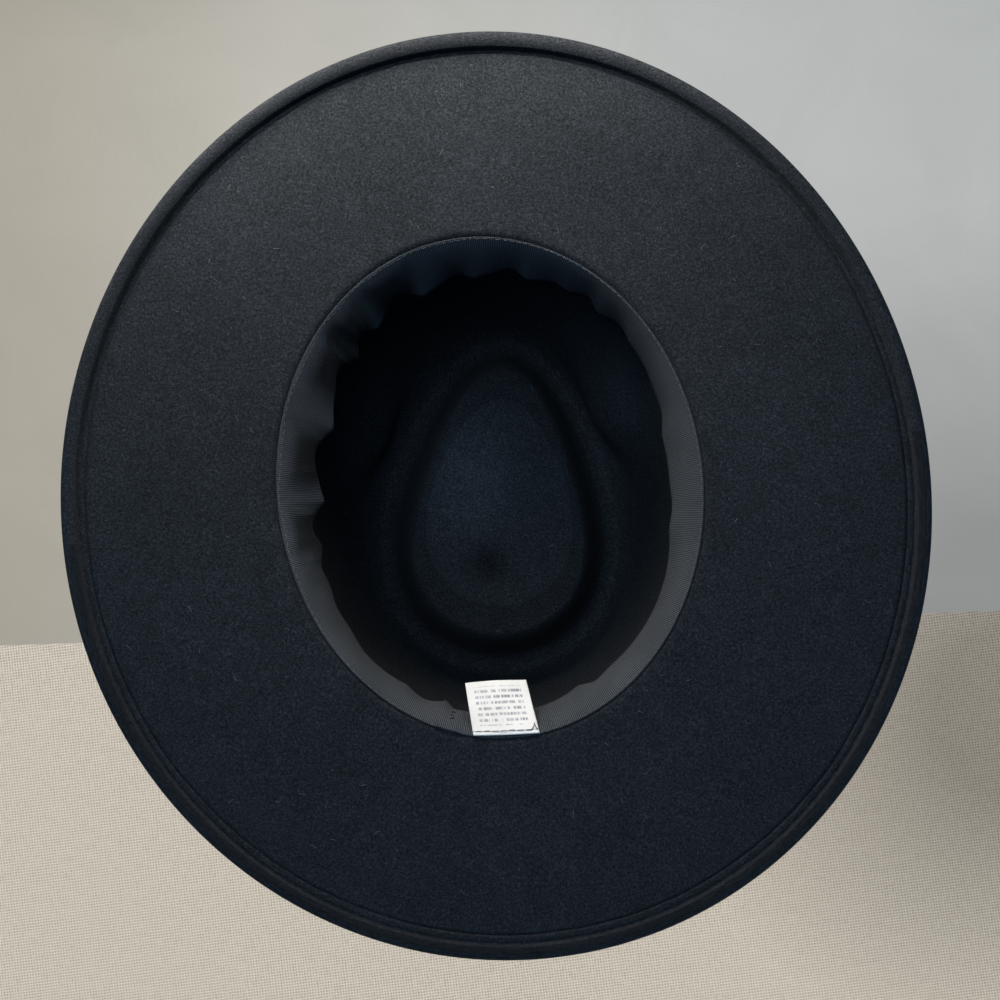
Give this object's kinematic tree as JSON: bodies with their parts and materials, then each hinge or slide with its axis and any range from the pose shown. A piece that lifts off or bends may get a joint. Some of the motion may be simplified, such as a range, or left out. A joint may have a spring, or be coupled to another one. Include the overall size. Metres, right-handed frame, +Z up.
{
  "type": "wide-brimmed felt hat",
  "caption": "Wide flat-brimmed felt hat with a teardrop-dented crown, pinched front, ribbon sweatband, wired folded edge and a belt with a working buckle.",
  "frame": {"origin": "middle of the brim's outline, on the surface that the brim rests on", "axes": "+Z up through the crown, -Y the front (the brow), +X the wearer's left"},
  "size_m": [0.3425, 0.367, 0.116],
  "materials": {
    "felt": "matt pressed wool with a short nap",
    "ribbon": "ribbed grosgrain, dull",
    "label_satin": "white satin, soft sheen",
    "dark_thread": "spun thread",
    "pale_thread": "spun thread",
    "spring_wire": "drawn wire",
    "ferrule_metal": "crimped tube",
    "belt_leather": "imitation leather, satin",
    "buckle_metal": "aged nickel"
  },
  "bodies": {
    "hat": {"felt_body": "felt", "brim_wire": "spring_wire", "wire_joiner": "ferrule_metal", "hem_stitches": "dark_thread", "sweatband": "ribbon", "sweatband_stitches": "pale_thread", "sweatband_lap_stitches": "dark_thread", "belt_strap": "belt_leather", "belt_fold_stitches": "dark_thread", "belt_tacks": "dark_thread"},
    "label": {"care_label": "label_satin", "label_stitches": "dark_thread"},
    "buckle": {"buckle_frame": "buckle_metal"},
    "prong": {"buckle_prong": "buckle_metal"},
    "keeper": {"keeper_loop": "belt_leather", "keeper_stitches": "dark_thread"}
  },
  "joints": [
    {"name": "label_flap", "type": "hinge", "parent": "hat", "child": "label", "pos_m": [-0.00894, 0.09613, 0.00487], "axis": [0.9955, 0.0948, 0], "range_deg": [-6, 50], "stiffness_Nm_per_rad": 0.00045},
    {"name": "buckle_pivot", "type": "hinge", "parent": "hat", "child": "buckle", "pos_m": [0.08676, 0.0079, 0.01906], "axis": [0, 0, 1], "range_deg": [0, 8]},
    {"name": "prong_pivot", "type": "hinge", "parent": "buckle", "child": "prong", "pos_m": [0.08676, 0.0079, 0.01906], "axis": [0, 0, 1], "range_deg": [0, 3]},
    {"name": "keeper_slide", "type": "slide", "parent": "hat", "child": "keeper", "axis": [-0.2221, 0.975, 0], "range_m": [-0.003, 0.003]}
  ]
}
